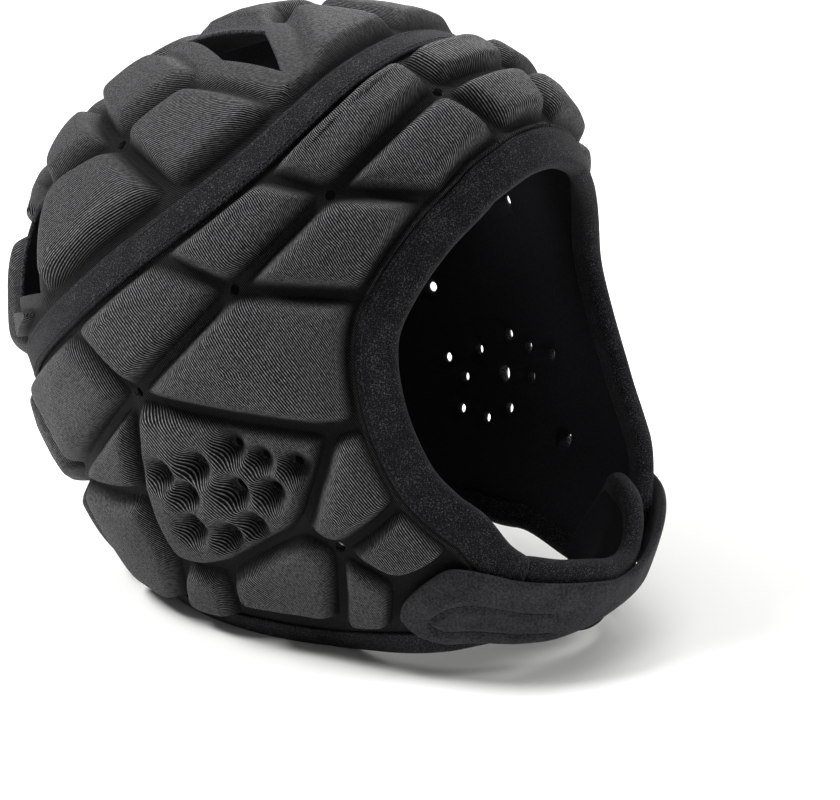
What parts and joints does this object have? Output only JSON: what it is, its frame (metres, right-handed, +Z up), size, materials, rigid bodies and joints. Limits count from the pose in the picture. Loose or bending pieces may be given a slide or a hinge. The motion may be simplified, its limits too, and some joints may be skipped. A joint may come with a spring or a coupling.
{
  "type": "soft shell football helmet",
  "caption": "Soft padded football helmet of moulded foam pads under knit fabric, with a taped seam, bound face and neck edges, vents, ear holes and a wrap-round chin strap.",
  "frame": {"origin": "centre of the helmet's box on the ground plane, which is the flat underside of the neck binding", "axes": "+Z up, -Y towards the face opening, +X towards the wearer's left"},
  "size_m": [0.1886, 0.2572, 0.2139],
  "materials": {
    "padded_knit": "ribbed knit over moulded foam, matt black",
    "stretch_tape": "brushed stretch tape, matt black",
    "brushed_strap": "brushed loop fabric over thin foam, matt black"
  },
  "bodies": {
    "root": {"front_panel": "padded_knit", "crown_panel": "padded_knit", "seam_tape": "stretch_tape", "face_binding": "stretch_tape", "neck_binding": "stretch_tape", "chin_flap": "brushed_strap", "chin_strap": "brushed_strap"}
  },
  "joints": []
}
